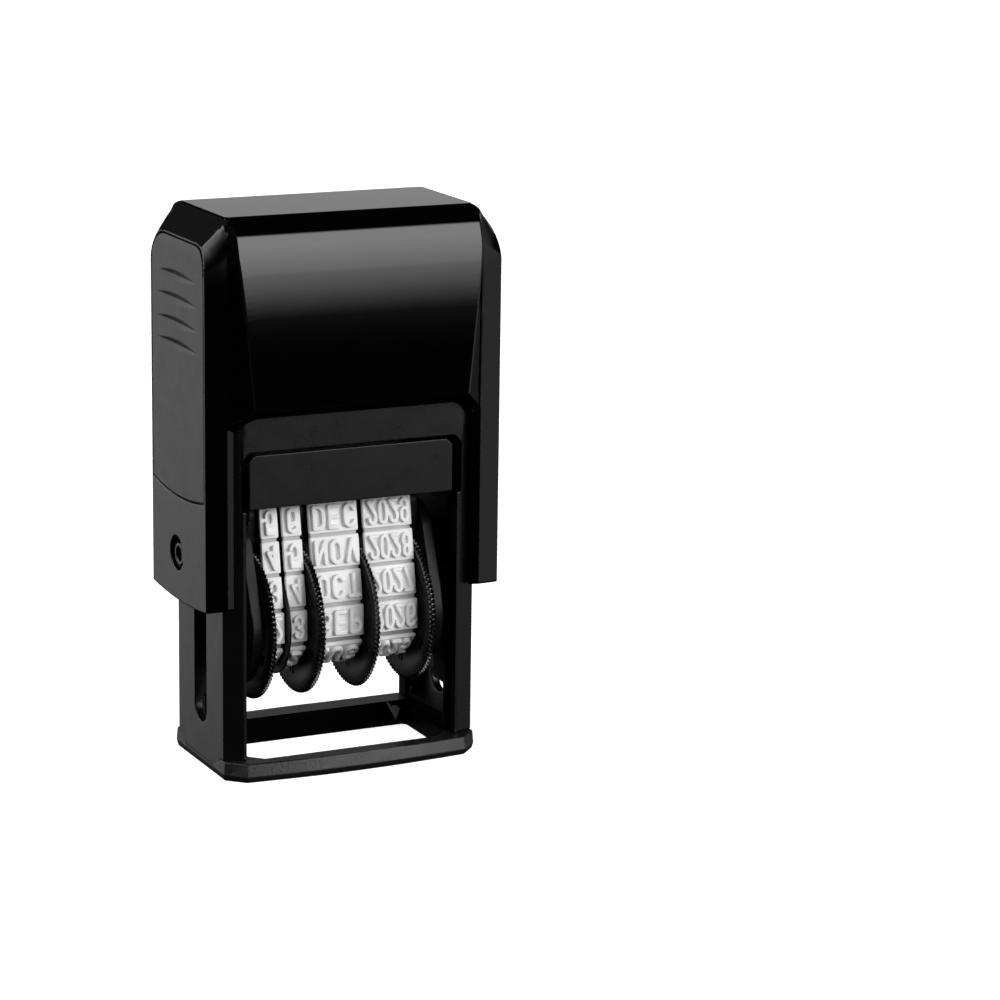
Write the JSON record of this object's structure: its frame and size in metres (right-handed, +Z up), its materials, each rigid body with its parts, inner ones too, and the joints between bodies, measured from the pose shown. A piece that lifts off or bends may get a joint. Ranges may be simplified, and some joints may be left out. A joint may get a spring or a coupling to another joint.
{
  "type": "rotary date stamp",
  "caption": "Self-inking band date stamp: a sprung cap turns the print head over from the ink pad to the paper, with setting wheels for day, month and year.",
  "frame": {"origin": "centre of the foot's underside, on the paper", "axes": "+Z up through the cap, +X to the right, front (the setting wheels' window) faces -Y"},
  "size_m": [0.0406, 0.024, 0.072],
  "materials": {
    "cap_plastic": "polished black ABS",
    "grip_plastic": "finely textured black plastic",
    "frame_plastic": "satin black ABS",
    "foot_plastic": "satin black ABS",
    "cassette_plastic": "satin dark grey polypropylene",
    "head_plastic": "moulded black plastic",
    "wheel_plastic": "moulded black acetal",
    "band_rubber": "white natural rubber",
    "pad_felt": "felt soaked with blue ink",
    "axle_steel": "drawn steel rod",
    "spring_steel": "zinc-plated spring wire"
  },
  "bodies": {
    "base": {"frame": "frame_plastic", "foot": "foot_plastic", "return_spring": "spring_steel"},
    "cap": {"cap_shell": "cap_plastic", "left_grip_panel": "grip_plastic", "right_grip_panel": "grip_plastic"},
    "head": {"left_cheek": "head_plastic", "right_cheek": "head_plastic", "band_bridge": "head_plastic", "wheel_axle": "axle_steel", "day_divider": "head_plastic", "day_tens_band": "band_rubber", "day_units_band": "band_rubber", "month_band": "band_rubber", "year_band": "band_rubber"},
    "drawer": {"ink_cassette": "cassette_plastic", "ink_pad": "pad_felt"},
    "day_tens_setting": {"day_tens_wheel": "wheel_plastic"},
    "day_units_setting": {"day_units_wheel": "wheel_plastic"},
    "month_setting": {"month_wheel": "wheel_plastic"},
    "year_setting": {"year_wheel": "wheel_plastic"}
  },
  "joints": [
    {"name": "cap_press", "type": "slide", "parent": "base", "child": "cap", "axis": [0, 0, -1], "range_m": [0, 0.0196], "stiffness_N_per_m": 300, "springref_m": -0.01, "deforming": ["return_spring"]},
    {"name": "head_flip", "type": "hinge", "parent": "cap", "child": "head", "pos_m": [0, 0, 0.028], "axis": [1, 0, 0], "range_deg": [0, 180]},
    {"name": "drawer_slide", "type": "slide", "parent": "base", "child": "drawer", "axis": [0, 1, 0], "range_m": [-0.014, 0]},
    {"name": "day_tens_turn", "type": "hinge", "parent": "head", "child": "day_tens_setting", "pos_m": [0, 0, 0.0182], "axis": [1, 0, 0], "continuous": true},
    {"name": "day_units_turn", "type": "hinge", "parent": "head", "child": "day_units_setting", "pos_m": [0, 0, 0.0182], "axis": [1, 0, 0], "continuous": true},
    {"name": "month_turn", "type": "hinge", "parent": "head", "child": "month_setting", "pos_m": [0, 0, 0.0182], "axis": [1, 0, 0], "continuous": true},
    {"name": "year_turn", "type": "hinge", "parent": "head", "child": "year_setting", "pos_m": [0, 0, 0.0182], "axis": [1, 0, 0], "continuous": true}
  ],
  "couplings": [
    {"joint": "head_flip", "follows": "cap_press", "rad_per_m": 160.29}
  ]
}
